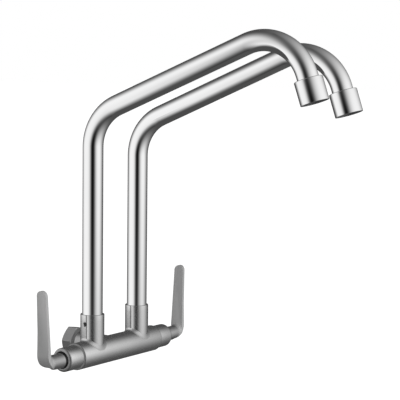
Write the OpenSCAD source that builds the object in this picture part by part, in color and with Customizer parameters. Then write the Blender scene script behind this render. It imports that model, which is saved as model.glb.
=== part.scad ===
// Wall-mounted sink tap with two swivelling spouts and two lever valves.
// Millimetres. +Z up, -Y towards the user. The origin is the centre of the
// inlet's mouth, where the supply pipe in the wall enters along Y.

/* [Body] */
// How far the horizontal body stands out from a socket on each side
body_margin = 1.3; // [0.8:0.1:2.3]
// Length of the body between its end faces
body_l = 124; // [120:1:140]
// Distance between the two spout sockets
socket_pitch = 71.5; // [70:0.5:80]
// Wall of a spout socket
socket_wall = 1.62; // [1.5:0.02:2.4]
// Height of the socket rims above the body's axis
socket_h = 38.4; // [38:0.2:44]
// Diameter of the central water passage
passage_d = 12; // [11:0.5:13]
// Rounding of the body's end edges
body_round = 1.6; // [0.5:0.1:2]
// Leg of the weld fillet round the foot of each socket
weld_leg = 1.8; // [1:0.1:2.5]

/* [Inlet] */
// Distance from the body's axis back to the inlet's mouth
inlet_reach = 56; // [50:1:70]
// Outer diameter of the neck behind the body
neck_d = 21.3; // [20:0.1:22]
// Hexagon of the inlet across its flats
inlet_af = 28; // [27:0.5:32]
// Length of the hexagon
inlet_hex_l = 12; // [12:0.5:18]
// Turn of the hexagon from having one corner straight up
inlet_turn = 10; // [0:1:30]
// Major diameter of the pipe thread in the mouth
inlet_thread_d = 20.955; // [20:0.005:21.5]
// Depth of the pipe thread
inlet_thread_l = 9.5; // [8:0.5:10]

/* [Spouts] */
// Outer diameter of the spout tubes
tube_d = 20; // [19:0.1:20.2]
// Wall of the spout tubes
tube_wall = 1.2; // [1:0.1:1.6]
// Height of the left riser's straight part above the body's axis
left_riser_h = 200.4; // [150:1:260]
// Height of the right riser's straight part above the body's axis
right_riser_h = 188.6; // [150:1:260]
// Centreline radius of the bend at the top of the riser
rise_bend_r = 44.3; // [36:0.5:60]
// Slope of the arm above the horizontal, degrees
arm_pitch = 23.4; // [0:1:35]
// Straight length of the arm
arm_l = 147.4; // [100:1:200]
// Centreline radius of the bend above the outlet
fall_bend_r = 44.5; // [36:0.5:60]
// Slope of the outlet below the horizontal, degrees
outlet_dip = 71.6; // [60:1:90]
// Swing of the left spout from straight ahead, degrees
left_turn = 6.9; // [-5:0.1:8]
// Swing of the right spout from straight ahead, degrees
right_turn = 4.4; // [2:0.1:10]

/* [Outlets] */
// How far an outlet cup stands out from its tube on each side
cup_rise = 3.3; // [3:0.1:5]
// Length of an outlet cup
cup_l = 22; // [21:0.5:30]
// Wall of an outlet cup round its thread
cup_wall = 1.3; // [1:0.1:1.6]
// Straight tube between the bend and the cup
cup_start = 4; // [2:0.5:10]
// Depth of the tube's seat in the cup
cup_seat_l = 5.5; // [4:0.5:6]
// Rounding of the cup's shoulder
cup_round = 1.8; // [0.5:0.1:2.2]

/* [Valves] */
// Distance from the middle of the body to the seat of each cartridge
seat_x = 24; // [20:0.5:25]
// Diameter of the chamber that holds a cartridge
chamber_d = 19.6; // [19.4:0.1:20]
// Diameter of the thread at each end of the body
cartridge_thread_d = 20.955; // [20.5:0.005:21.5]
// Depth of the thread at each end of the body
cartridge_thread_l = 14; // [12:0.5:15]
// Diameter of the ceramic discs
disc_d = 14.2; // [13:0.1:14.4]
// Thickness of each ceramic disc
disc_t = 3; // [2:0.1:3.2]
// Diameter of the spindle
spindle_d = 8; // [7:0.1:8.5]

/* [Collars] */
// How far an end collar is set in from the body's surface
collar_inset = 1.4; // [0.5:0.1:1.6]
// Length of an end collar
collar_l = 20.4; // [17:0.2:24]
// Rounding of a collar's outer edge
collar_round = 2.4; // [0.5:0.1:2.6]
// Wall of a collar round its open mouth
collar_lip = 3.2; // [2.8:0.1:3.4]

/* [Levers] */
// Height of a lever above the body's axis
lever_h = 70; // [50:1:110]
// Distance from the collar's end to the outer face of the blade
lever_out = 27.1; // [26:0.1:36]
// Diameter of the lever's round stem
stem_d = 14.4; // [13:0.1:15]
// Thickness of the blade
blade_t = 3.9; // [3.4:0.1:6]
// Width of the blade at its top
blade_w = 10.9; // [8:0.1:13]
// Outward lean of the blade, degrees
blade_lean = 3; // [0:0.1:6]
// Outside radius of the elbow between stem and blade
elbow_r = 14.5; // [12:0.5:17]
// How far the elbow's underside lies above the stem's
elbow_rise = 1.7; // [0.5:0.1:3]
// Radius of the cove between the stem and the blade's inner face
cove_r = 2.6; // [1:0.2:4]

/* [Hidden] */
$fn = 96;

// Overrun of a cut past the face that it leaves
over = 1;
// Radial clearance of a part that turns in its bore
run_gap = 0.05;
// Radial clearance of a tail or a stem in its bore
slide_gap = 0.08;
// Gap between the lapped faces of two ceramic discs
lap_gap = 0.02;
// Radial clearance of a fixed piece in its thread or seat
seat_gap = 0.08;
// Small end chamfer or edge break
edge = 0.5;

// Washer and strainer seat in front of the thread
inlet_washer_t = 2.4;
inlet_strainer_t = 1;
strainer_hole_d = 1.6;
strainer_pitch = 2.6;
strainer_rows = 2;
inlet_seat_d = 18.4;
inlet_seat_l = inlet_thread_l + inlet_washer_t + inlet_strainer_t;

// Sockets and what stands in them
socket_bore_d = tube_d + 2 * slide_gap;
socket_d = socket_bore_d + 2 * socket_wall;
body_d = socket_d + 2 * body_margin;
floor_step = 0.6;
socket_floor = body_d / 2 + floor_step;
port_d = passage_d;
glide_t = 1.2;
tail_start = socket_floor + glide_t;
tube_sink = 5;
tube_start = socket_h - tube_sink;
tail_spigot_l = 10;
tail_wall = 3.3;
tail_bore_d = tube_d - 2 * tail_wall;
tail_ring_t = 1.8;
tail_ring_w = 2.4;
screw_drop = 9;
screw_d = 4;
screw_z = socket_h - screw_drop;
track_w = 3.2;
// Three equal lands round the two seal rings, between the tail's end and its track
tail_land = (screw_z - track_w / 2 - tail_start - 2 * tail_ring_w) / 3;
tail_ring_zs = [tail_start + tail_land, tail_start + 2 * tail_land + tail_ring_w];
track_depth = 1.6;
screw_tip_d = 2.4;
screw_tip_l = track_depth;
screw_sink = 0.5;
screw_key_af = 2;
screw_key_depth = 0.8;

// Cartridges, measured along X from the middle of the body
body_end = body_l / 2;
seal_t = 3;
seal_hole_d = 9.4;
housing_start = seat_x + edge;
fixed_x = seat_x + seal_t;
turning_x = fixed_x + disc_t + lap_gap;
head_x = turning_x + disc_t;
head_t = 4.4;
dog_w = 3;
dog_l = 1;
port_angle = 80;
housing_d = chamber_d - 2 * edge;
disc_bore_d = disc_d + 2 * slide_gap;
thread_x = body_end - cartridge_thread_l;
cartridge_ring_t = 1.7;
cartridge_ring_w = 2.4;
cartridge_land = 1.6;
cartridge_ring_x = thread_x - cartridge_land - cartridge_ring_w;
housing_ring_depth = (housing_d - chamber_d) / 2 + cartridge_ring_t;
housing_hex_af = 16.8;
housing_hex_l = 4.5;
housing_neck_d = 16;
housing_neck_l = 4.6;
housing_end = body_end + housing_hex_l + housing_neck_l;
window_w = 9;
window_l = 8;
spindle_ring_t = 1.15;
spindle_ring_w = 1.9;
spindle_land = 9;
spindle_ring_x = body_end - spindle_land - spindle_ring_w;
clip_t = 0.8;
clip_depth = 0.8;
clip_d = 11;
clip_slot = 5.4;
key_af = 6;

// Collars and levers
collar_d = body_d - 2 * collar_inset;
collar_end = body_end + collar_l;
collar_web_x = body_end + housing_hex_l + edge;
collar_web_t = 3.4;
collar_mouth_d = collar_d - 2 * collar_lip;
stem_gap = 2.6;
stem_x = housing_end + stem_gap;
key_l = 15;
spindle_end = stem_x + key_l;
key_socket_l = key_l + edge;
lever_screw_x = stem_x + key_l - screw_d;
blade_out = collar_end + lever_out;

// The elbow is an arc of the blade's outer face that ends above the stem's underside
strip_tuck = 0.05;
elbow_centre = [blade_out - elbow_r, elbow_r - stem_d / 2 + elbow_rise];
lean_out = [cos(blade_lean), -sin(blade_lean)];
lean_up = [sin(blade_lean), cos(blade_lean)];
blade_foot = elbow_centre + elbow_r * lean_out;
blade_inner = blade_foot - blade_t * lean_out;
blade_run = (lever_h + over - blade_foot[1]) / cos(blade_lean);

// Spouts, in the plane of each spout: forward and up from the body's axis
riser_bend_end = [rise_bend_r * (1 - sin(arm_pitch)), rise_bend_r * cos(arm_pitch)];
arm_end = riser_bend_end + arm_l * [cos(arm_pitch), sin(arm_pitch)];
fall_centre = arm_end + fall_bend_r * [sin(arm_pitch), -cos(arm_pitch)];
fall_end = fall_centre + fall_bend_r * [sin(outlet_dip), cos(outlet_dip)];

// Bent tube is a hair wider than straight tube, and the straight runs lap into it
bend_swell = 0.05;
bend_lap = 0.4;

// Outlets, measured along the water's way out from the end of the bend
cup_d = tube_d + 2 * cup_rise;
tube_end = cup_start + cup_seat_l;
cup_end = cup_start + cup_l;
cup_ledge = 1.4;
cup_floor = tube_end + cup_ledge;
cup_bore_d = cup_d - 2 * cup_wall;
washer_t = 1.5;
core_x = cup_floor + washer_t;
core_flange_t = 1.5;
core_l = 9;
core_room = 2.3;
core_d = cup_bore_d - 2 * core_room;
core_wall = 1.1;
core_rib = 0.8;
core_ring_shares = [0.3, 0.65];
core_grid_t = 3;
ring_recess = 1.2;
ring_x = core_x + core_flange_t;
ring_l = cup_end - ring_recess - ring_x;
ring_notch_w = 3;
ring_notch_depth = 1.6;
screen_t = 0.5;
screen_hole_d = 1.5;
screen_pitch = 2.4;
screen_rows = 3;

steel = [0.74, 0.75, 0.76];
polished = [0.88, 0.89, 0.90];
brass_c = [0.80, 0.66, 0.36];
rubber_c = [0.12, 0.12, 0.13];
ceramic_c = [0.95, 0.94, 0.90];
plastic_c = [0.90, 0.91, 0.92];

// Placing

// The body's own frame, with its axis along X
module at_body() {
    translate([0, -inlet_reach, 0]) children();
}

// One side of the body: children are drawn on the right and mirrored for the left
module on_side(right) {
    at_body() {
        if (right) children();
        else mirror([1, 0, 0]) children();
    }
}

// Children drawn along +Z are laid along +X
module along_x(x) {
    translate([x, 0, 0]) rotate([0, 90, 0]) children();
}

// The plane of one spout: +X forward along the arm, +Z up
module on_spout(right) {
    side = right ? 1 : -1;
    turn = right ? right_turn : left_turn;
    at_body() translate([side * socket_pitch / 2, 0, 0]) rotate([0, 0, turn - 90]) children();
}

function riser_h(right) = right ? right_riser_h : left_riser_h;

// The end of one spout: +Z along the water's way out
module on_outlet(right) {
    on_spout(right)
        translate([fall_end[0], 0, riser_h(right) + fall_end[1]])
            rotate([0, 90 + outlet_dip, 0]) children();
}

// Shapes

// Round bar with rounded edges at the chosen ends
module round_bar(d, l, low_round, high_round) {
    rotate_extrude() {
        translate([0, low_round]) square([d / 2, l - low_round - high_round]);
        square([d / 2 - low_round, l]);
        square([d / 2 - high_round, l]);
        if (low_round > 0) translate([d / 2 - low_round, low_round]) circle(low_round);
        if (high_round > 0) translate([d / 2 - high_round, l - high_round]) circle(high_round);
    }
}

// Flat ring
module ring(d_out, d_in, t) {
    difference() {
        cylinder(d = d_out, h = t);
        translate([0, 0, -over]) cylinder(d = d_in, h = t + 2 * over);
    }
}

// Sealing ring of round section that fills a groove of the given bore
module seal_ring(d_out, t) {
    rotate_extrude() translate([(d_out - t) / 2, 0]) circle(d = t);
}

// Groove round a shaft of diameter d
module groove(d, depth, w) {
    difference() {
        cylinder(d = d + over, h = w);
        translate([0, 0, -over]) cylinder(d = d - 2 * depth, h = w + 2 * over);
    }
}

// Two opposite sectors of a disc, each `angle` wide, as a flat outline
module sectors(d, angle) {
    for (turn = [0, 180]) rotate([0, 0, turn])
        intersection() {
            circle(d = d);
            polygon([
                [0, 0],
                [d * cos(angle / 2), -d * sin(angle / 2)],
                [d * cos(angle / 2), d * sin(angle / 2)]
            ]);
        }
}

// Round rod along a spout, from a start height on the riser to past the last bend.
// The bends are wider by bend_swell, so that each straight run ends inside them.
module spout_rod(d, z_start, z_riser, past) {
    bend_d = d + 2 * bend_swell;
    translate([0, 0, z_start]) cylinder(d = d, h = z_riser - z_start + bend_lap);
    translate([rise_bend_r, 0, z_riser]) rotate([90, 0, 0]) rotate([0, 0, 90 + arm_pitch])
        rotate_extrude(angle = 90 - arm_pitch) translate([rise_bend_r, 0]) circle(d = bend_d);
    translate([riser_bend_end[0], 0, z_riser + riser_bend_end[1]]) rotate([0, 90 - arm_pitch, 0])
        translate([0, 0, -bend_lap]) cylinder(d = d, h = arm_l + 2 * bend_lap);
    translate([fall_centre[0], 0, z_riser + fall_centre[1]]) rotate([90, 0, 0])
        rotate([0, 0, 90 - outlet_dip])
            rotate_extrude(angle = arm_pitch + outlet_dip)
                translate([fall_bend_r, 0]) circle(d = bend_d);
    translate([fall_end[0], 0, z_riser + fall_end[1]]) rotate([0, 90 + outlet_dip, 0])
        translate([0, 0, -bend_lap]) cylinder(d = d, h = past + bend_lap);
}

// Set screw along +Z with its slot end up: z = 0 is the tip
module set_screw(l, tip_d, tip_l) {
    difference() {
        union() {
            cylinder(d = tip_d, h = tip_l);
            translate([0, 0, tip_l]) cylinder(d = screw_d - 2 * seat_gap, h = l - tip_l);
        }
        translate([0, 0, l - screw_key_depth])
            cylinder(d = screw_key_af / cos(30), h = screw_key_depth + over, $fn = 6);
    }
}

// Body and inlet

module body() {
    color(steel) at_body() difference() {
        union() {
            translate([-body_end, 0, 0]) rotate([0, 90, 0])
                round_bar(body_d, body_l, body_round, body_round);
            for (side = [-1, 1]) translate([side * socket_pitch / 2, 0, 0]) {
                round_bar(socket_d, socket_h, 0, edge);
                socket_weld();
            }
        }
        along_x(-body_end - over) cylinder(d = passage_d, h = body_l + 2 * over);
        rotate([-90, 0, 0]) cylinder(d = passage_d, h = body_d);
        for (side = [-1, 1]) {
            mirror([side < 0 ? 1 : 0, 0, 0]) {
                along_x(seat_x) cylinder(d = chamber_d, h = body_end - seat_x + over);
                along_x(thread_x) cylinder(d = cartridge_thread_d, h = cartridge_thread_l + over);
                translate([socket_pitch / 2, 0, 0]) {
                    cylinder(d = port_d, h = socket_h);
                    translate([0, 0, socket_floor]) cylinder(d = socket_bore_d, h = socket_h);
                    translate([0, 0, screw_z]) rotate([0, 90, 0]) cylinder(d = screw_d, h = socket_d);
                }
            }
        }
    }
}

// Weld fillet at the foot of a socket, highest over the body's crown
module socket_weld() {
    weld_d = socket_d + 6 * weld_leg;
    weld_room = 2 * (body_end - body_round) - socket_pitch;
    intersection() {
        translate([0, 0, body_d / 2 - 2 * weld_leg])
            cylinder(d1 = weld_d, d2 = socket_d, h = 3 * weld_leg);
        rotate([0, 90, 0])
            cylinder(d = body_d + 2 * weld_leg, h = min(weld_d, weld_room), center = true);
    }
}

module inlet_connector() {
    color(steel) difference() {
        union() {
            rotate([90, 0, 0]) rotate([0, 0, 30 + inlet_turn])
                inlet_hexagon();
            translate([0, edge - inlet_hex_l, 0]) rotate([90, 0, 0])
                cylinder(d = neck_d, h = inlet_reach - inlet_hex_l);
        }
        at_body() rotate([0, 90, 0]) cylinder(d = body_d, h = body_d * 2, center = true);
        rotate([90, 0, 0]) cylinder(d = passage_d, h = inlet_reach);
        translate([0, over, 0]) rotate([90, 0, 0])
            cylinder(d = inlet_thread_d, h = inlet_thread_l + over);
        translate([0, over, 0]) rotate([90, 0, 0]) cylinder(d = inlet_seat_d, h = inlet_seat_l + over);
    }
}

// Hexagon with both ends chamfered by a cone, from z = 0 to its length
module inlet_hexagon() {
    corner_d = inlet_af / cos(30);
    chamfer = (corner_d - inlet_af) / 2;
    intersection() {
        cylinder(d = corner_d, h = inlet_hex_l, $fn = 6);
        rotate_extrude() polygon([
            [0, 0],
            [inlet_af / 2, 0],
            [inlet_af / 2 + 2 * chamfer, chamfer],
            [inlet_af / 2 + 2 * chamfer, inlet_hex_l - chamfer],
            [inlet_af / 2, inlet_hex_l],
            [0, inlet_hex_l]
        ]);
    }
}

module inlet_washer() {
    color(rubber_c) translate([0, -inlet_thread_l, 0]) rotate([90, 0, 0])
        ring(inlet_seat_d - 2 * seat_gap, passage_d, inlet_washer_t);
}

module inlet_strainer() {
    color(steel) translate([0, -inlet_thread_l - inlet_washer_t, 0]) rotate([90, 0, 0])
        difference() {
            cylinder(d = inlet_seat_d - 2 * seat_gap, h = inlet_strainer_t);
            translate([0, 0, -over]) hex_holes(strainer_hole_d, strainer_pitch, strainer_rows, inlet_strainer_t + 2 * over);
        }
}

// Holes on a hexagonal grid of the given number of rings round a central one
module hex_holes(d, pitch, rings, h) {
    for (i = [-rings:rings], j = [-rings:rings])
        if (abs(i + j) <= rings)
            translate([pitch * (i + j / 2), pitch * j * sin(60), 0]) cylinder(d = d, h = h, $fn = 24);
}

// Valve cartridges

module cartridge_housing(right) {
    color(brass_c) on_side(right) difference() {
        union() {
            along_x(housing_start) cylinder(d = housing_d, h = thread_x - housing_start);
            along_x(thread_x) cylinder(d = cartridge_thread_d - 2 * seat_gap, h = cartridge_thread_l);
            along_x(body_end)
                cylinder(d = housing_hex_af / cos(30), h = housing_hex_l, $fn = 6);
            along_x(body_end + housing_hex_l) cylinder(d = housing_neck_d, h = housing_neck_l);
        }
        along_x(housing_start - over)
            cylinder(d = disc_bore_d, h = head_x + head_t + run_gap - housing_start + over);
        along_x(head_x) cylinder(d = spindle_d + 2 * run_gap, h = housing_end - head_x + over);
        along_x(cartridge_ring_x) groove(housing_d, housing_ring_depth, cartridge_ring_w);
        translate([fixed_x + disc_t - edge, -window_w / 2, -housing_d])
            cube([window_l, window_w, 2 * housing_d]);
    }
}

module cartridge_ring(right) {
    color(rubber_c) on_side(right) along_x(cartridge_ring_x + cartridge_ring_w / 2)
        seal_ring(chamber_d, cartridge_ring_t);
}

module seat_seal(right) {
    color(rubber_c) on_side(right) along_x(seat_x) ring(disc_d, seal_hole_d, seal_t);
}

module fixed_disc(right) {
    color(ceramic_c) on_side(right) along_x(fixed_x) linear_extrude(disc_t) difference() {
        circle(d = disc_d);
        difference() {
            sectors(seal_hole_d, port_angle);
            circle(d = dog_w);
        }
    }
}

module turning_disc(right) {
    slot = dog_w + 2 * run_gap;
    color(ceramic_c) on_side(right) along_x(turning_x) difference() {
        linear_extrude(disc_t) difference() {
            circle(d = disc_d);
            rotate([0, 0, 90]) difference() {
                sectors(disc_d + over, port_angle);
                circle(d = 1.5 * dog_w);
            }
        }
        translate([-disc_d, -slot / 2, disc_t - dog_l - run_gap])
            cube([2 * disc_d, slot, dog_l + run_gap + over]);
    }
}

module spindle(right) {
    color(brass_c) on_side(right) difference() {
        union() {
            along_x(head_x) cylinder(d = disc_d, h = head_t);
            intersection() {
                along_x(head_x - dog_l) cylinder(d = disc_d, h = dog_l + edge);
                translate([head_x - dog_l, -dog_w / 2, -disc_d]) cube([dog_l + edge, dog_w, 2 * disc_d]);
            }
            along_x(head_x) cylinder(d = spindle_d, h = stem_x - head_x - edge);
            intersection() {
                along_x(stem_x - 2 * edge) cylinder(d = spindle_d, h = spindle_end - stem_x + 2 * edge);
                translate([stem_x - 2 * edge, -key_af / 2, -key_af / 2])
                    cube([spindle_end - stem_x + 2 * edge, key_af, key_af]);
            }
        }
        along_x(spindle_ring_x) groove(spindle_d, spindle_ring_t, spindle_ring_w);
        along_x(housing_end) groove(spindle_d, clip_depth, clip_t + slide_gap);
    }
}

module spindle_ring(right) {
    color(rubber_c) on_side(right) along_x(spindle_ring_x + spindle_ring_w / 2)
        seal_ring(spindle_d, spindle_ring_t);
}

// Open clip in the spindle's groove, outside the housing
module spindle_clip(right) {
    color(steel) on_side(right) along_x(housing_end + slide_gap / 2) linear_extrude(clip_t) difference() {
        circle(d = clip_d);
        circle(d = spindle_d - 2 * clip_depth + 2 * run_gap);
        translate([0, -clip_slot / 2]) square([clip_d, clip_slot]);
    }
}

// End collars

module collar(right) {
    color(steel) on_side(right) difference() {
        along_x(body_end) round_bar(collar_d, collar_l, edge, collar_round);
        along_x(body_end - over)
            cylinder(d = housing_hex_af / cos(30) + 2 * slide_gap, h = collar_web_x - body_end + over);
        along_x(collar_web_x - over) cylinder(d = housing_neck_d + 2 * seat_gap, h = collar_l);
        along_x(collar_web_x + collar_web_t) cylinder(d = collar_mouth_d, h = collar_l);
    }
}

// Levers

// Tapered strip from a low circle to a high one. Its sides start a hair inside the
// circles, so that they cross them.
module taper_strip(d_low, d_high, l) {
    circle(d = d_low);
    translate([0, l]) circle(d = d_high);
    polygon([
        [-d_low / 2 + strip_tuck, 0],
        [d_low / 2 - strip_tuck, 0],
        [d_high / 2 - strip_tuck, l],
        [-d_high / 2 + strip_tuck, l]
    ]);
}

// Round stem that flares by a cove into the blade's inner face, z = 0 at its open end
module lever_stem(l) {
    rotate_extrude() {
        square([stem_d / 2, l]);
        translate([0, l - cove_r]) difference() {
            square([stem_d / 2 + cove_r, cove_r + over]);
            translate([stem_d / 2 + cove_r, 0]) circle(cove_r);
        }
    }
}

// Outline drawn as X outward, Y up, made into a slab across the lever
module lever_slab() {
    rotate([90, 0, 0]) linear_extrude(2 * stem_d, center = true) children();
}

// All that lies outside the blade's leaning inner face
module blade_side() {
    far = blade_out + elbow_r;
    polygon([
        [blade_inner[0], -stem_d],
        blade_inner,
        blade_inner + blade_run * lean_up,
        [far, lever_h + over],
        [far, -stem_d]
    ]);
}

// Side view of stem, elbow and blade with the true outer face
module lever_side() {
    polygon([
        [stem_x - over, -stem_d],
        [elbow_centre[0], -stem_d],
        [elbow_centre[0], elbow_centre[1] + stem_d],
        [stem_x - over, elbow_centre[1] + stem_d]
    ]);
    translate(elbow_centre) circle(elbow_r);
    polygon([
        blade_foot,
        blade_foot + blade_run * lean_up,
        blade_foot + blade_run * lean_up - 2 * blade_t * lean_out,
        blade_foot - 2 * blade_t * lean_out
    ]);
}

module lever(right) {
    color(steel) on_side(right) difference() {
        intersection() {
            union() {
                along_x(stem_x) lever_stem(blade_inner[0] - stem_x);
                lever_slab() blade_side();
            }
            translate([stem_x - over, 0, 0]) rotate([90, 0, 90])
                linear_extrude(blade_out + elbow_r - stem_x)
                    taper_strip(stem_d + 2 * strip_tuck, blade_w, lever_h - blade_w / 2);
            lever_slab() lever_side();
        }
        translate([stem_x - over, -key_af / 2 - run_gap, -key_af / 2 - run_gap])
            cube([key_socket_l + over, key_af + 2 * run_gap, key_af + 2 * run_gap]);
        translate([lever_screw_x, 0, -stem_d]) cylinder(d = screw_d, h = stem_d);
    }
}

// Set screw under the stem, its tip on the spindle's flat
module lever_screw(right) {
    l = (stem_d - key_af) / 2 - screw_sink - run_gap;
    color(steel) on_side(right) translate([lever_screw_x, 0, -key_af / 2 - run_gap])
        rotate([180, 0, 0]) set_screw(l, screw_tip_d, screw_tip_l);
}

// Spout joints

module glide_ring(right) {
    side = right ? 1 : -1;
    color(plastic_c) at_body() translate([side * socket_pitch / 2, 0, socket_floor])
        ring(socket_bore_d - 2 * seat_gap, tail_bore_d, glide_t - lap_gap);
}

// Set screw in the socket's wall, its tip in the tail's track
module spout_screw(right) {
    tip_r = tube_d / 2 - track_depth + slide_gap + 4 * run_gap;
    l = socket_d / 2 - screw_sink - tip_r;
    color(steel) on_side(right) translate([socket_pitch / 2 + tip_r, 0, screw_z])
        rotate([0, 90, 0]) set_screw(l, screw_tip_d, screw_tip_l);
}

// Spouts

module spout_tube(right) {
    color(polished) on_spout(right) difference() {
        spout_rod(tube_d, tube_start, riser_h(right), tube_end);
        spout_rod(tube_d - 2 * tube_wall, tube_start - over, riser_h(right), tube_end + over);
    }
}

// Turned tail that is brazed into the riser and carries its seals
module spout_tail(right) {
    color(brass_c) on_spout(right) difference() {
        union() {
            translate([0, 0, tail_start]) cylinder(d = tube_d, h = tube_start - tail_start);
            translate([0, 0, tube_start])
                cylinder(d = tube_d - 2 * tube_wall - 2 * run_gap, h = tail_spigot_l);
        }
        translate([0, 0, tail_start - over])
            cylinder(d = tail_bore_d, h = tube_start + tail_spigot_l - tail_start + 2 * over);
        for (z = tail_ring_zs) translate([0, 0, z])
            groove(tube_d, tail_ring_t - slide_gap / 2, tail_ring_w);
        translate([0, 0, screw_z - track_w / 2]) groove(tube_d, track_depth, track_w);
    }
}

module tail_rings(right) {
    color(rubber_c) on_spout(right) for (z = tail_ring_zs) translate([0, 0, z + tail_ring_w / 2])
        seal_ring(tube_d + slide_gap, tail_ring_t);
}

// Outlets

module outlet_cup(right) {
    color(polished) on_outlet(right) difference() {
        translate([0, 0, cup_start]) round_bar(cup_d, cup_l, cup_round, edge / 2);
        cylinder(d = tube_d, h = tube_end);
        cylinder(d = tube_d - 2 * tube_wall, h = cup_floor + over);
        translate([0, 0, cup_floor]) cylinder(d = cup_bore_d, h = cup_l);
    }
}

module aerator_washer(right) {
    color(rubber_c) on_outlet(right) translate([0, 0, cup_floor])
        ring(cup_bore_d - 4 * seat_gap, tube_d - 2 * tube_wall, washer_t);
}

// Plastic insert: a flange, a sleeve and a grid that straightens the flow
module aerator_core(right) {
    bore = core_d - 2 * core_wall;
    color(plastic_c) on_outlet(right) translate([0, 0, core_x]) {
        difference() {
            union() {
                cylinder(d = cup_bore_d - 4 * seat_gap, h = core_flange_t);
                cylinder(d = core_d, h = core_l);
            }
            translate([0, 0, -over]) cylinder(d = bore, h = core_l + 2 * over);
        }
        translate([0, 0, core_l - core_grid_t]) linear_extrude(core_grid_t) {
            for (share = core_ring_shares) difference() {
                circle(d = bore * share + core_rib);
                circle(d = bore * share - core_rib);
            }
            intersection() {
                circle(d = bore + edge);
                difference() {
                    for (turn = [0:60:120]) rotate([0, 0, turn])
                        square([bore + edge, core_rib], center = true);
                    circle(d = bore * core_ring_shares[0] - core_rib / 2);
                }
            }
        }
    }
}

// Perforated steel disc that rests on the core's grid
module aerator_screen(right) {
    color(steel) on_outlet(right)
        translate([0, 0, core_x + core_l - core_grid_t - screen_t]) difference() {
            cylinder(d = core_d - 2 * core_wall - 2 * seat_gap, h = screen_t);
            translate([0, 0, -over])
                hex_holes(screen_hole_d, screen_pitch, screen_rows, screen_t + 2 * over);
        }
}

// Threaded ring with two key notches that clamps the core
module aerator_ring(right) {
    color(polished) on_outlet(right) translate([0, 0, ring_x]) difference() {
        ring(cup_bore_d - 2 * seat_gap, core_d + 2 * seat_gap, ring_l);
        translate([-cup_d, -ring_notch_w / 2, ring_l - ring_notch_depth])
            cube([2 * cup_d, ring_notch_w, ring_notch_depth + over]);
    }
}

body();
inlet_connector();
inlet_washer();
inlet_strainer();
collar(false);  // left_collar
collar(true);  // right_collar
cartridge_housing(false);  // left_cartridge_housing
cartridge_housing(true);  // right_cartridge_housing
cartridge_ring(false);  // left_cartridge_ring
cartridge_ring(true);  // right_cartridge_ring
seat_seal(false);  // left_seat_seal
seat_seal(true);  // right_seat_seal
fixed_disc(false);  // left_fixed_disc
fixed_disc(true);  // right_fixed_disc
turning_disc(false);  // left_turning_disc
turning_disc(true);  // right_turning_disc
spindle(false);  // left_spindle
spindle(true);  // right_spindle
spindle_ring(false);  // left_spindle_ring
spindle_ring(true);  // right_spindle_ring
spindle_clip(false);  // left_spindle_clip
spindle_clip(true);  // right_spindle_clip
lever(false);  // left_lever
lever(true);  // right_lever
lever_screw(false);  // left_lever_screw
lever_screw(true);  // right_lever_screw
glide_ring(false);  // left_glide_ring
glide_ring(true);  // right_glide_ring
spout_screw(false);  // left_spout_screw
spout_screw(true);  // right_spout_screw
spout_tube(false);  // left_spout_tube
spout_tube(true);  // right_spout_tube
spout_tail(false);  // left_spout_tail
spout_tail(true);  // right_spout_tail
tail_rings(false);  // left_tail_rings
tail_rings(true);  // right_tail_rings
outlet_cup(false);  // left_outlet_cup
outlet_cup(true);  // right_outlet_cup
aerator_washer(false);  // left_aerator_washer
aerator_washer(true);  // right_aerator_washer
aerator_screen(false);  // left_aerator_screen
aerator_screen(true);  // right_aerator_screen
aerator_core(false);  // left_aerator_core
aerator_core(true);  // right_aerator_core
aerator_ring(false);  // left_aerator_ring
aerator_ring(true);  // right_aerator_ring
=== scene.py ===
"""Looks of a wall-mounted sink tap with two swivelling spouts and two lever valves.

Shapes are worked out in millimetres in the part's frame: the origin is the centre of the
inlet's mouth, +Z is up and -Y points at the user. Each is put in the mesh in metres.
"""

import bmesh
import bpy
import numpy as np
from mathutils import Matrix, Vector


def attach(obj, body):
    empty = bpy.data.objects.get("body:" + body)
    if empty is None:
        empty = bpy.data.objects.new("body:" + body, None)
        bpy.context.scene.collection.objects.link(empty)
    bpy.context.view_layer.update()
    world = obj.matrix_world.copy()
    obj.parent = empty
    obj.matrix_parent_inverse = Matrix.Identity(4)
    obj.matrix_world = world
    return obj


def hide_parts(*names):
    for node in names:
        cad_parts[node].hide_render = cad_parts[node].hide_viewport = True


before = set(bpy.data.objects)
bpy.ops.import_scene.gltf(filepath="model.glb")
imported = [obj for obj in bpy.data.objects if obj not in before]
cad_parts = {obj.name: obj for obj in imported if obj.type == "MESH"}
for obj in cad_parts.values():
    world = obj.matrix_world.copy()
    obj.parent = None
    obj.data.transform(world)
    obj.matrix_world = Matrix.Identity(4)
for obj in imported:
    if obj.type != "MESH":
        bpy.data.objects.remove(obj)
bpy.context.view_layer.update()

MM = 0.001
TURN = 2 * np.pi
UP = np.array([0, 0, 1.0])

# Sizes of the tap in millimetres, the same as in its CAD source
INLET_REACH = 56.0
BODY_MIDDLE = (0, -INLET_REACH, 0)
BODY_R = 13.0
BODY_END = 62.0
PASSAGE_R = 6.0
SEAT_X = 24.0
CHAMBER_R = 9.8
THREAD_R = 10.4775
THREAD_X = 48.0
SOCKET_X = 35.75
SOCKET_R = 11.7
SOCKET_BORE_R = 10.08
SOCKET_FLOOR = 13.6
SOCKET_H = 38.4
SCREW_Z = 29.4
SCREW_R = 1.92
NECK_R = 10.65
HEX_FLAT_R = 14.0
HEX_L = 12.0
HEX_TURN = np.radians(10.0)
INLET_THREAD_L = 9.5
INLET_SEAT_R = 9.2
INLET_SEAT_Y = 12.9
TUBE_R = 10.0
TUBE_WALL = 1.2
TUBE_START = 33.4
TUBE_END = 9.5
RISE_BEND_R = 44.3
ARM_PITCH = np.radians(23.4)
ARM_L = 147.4
FALL_BEND_R = 44.5
OUTLET_DIP = np.radians(71.6)
CUP_R = 13.3
CUP_BORE_R = 12.0
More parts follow.
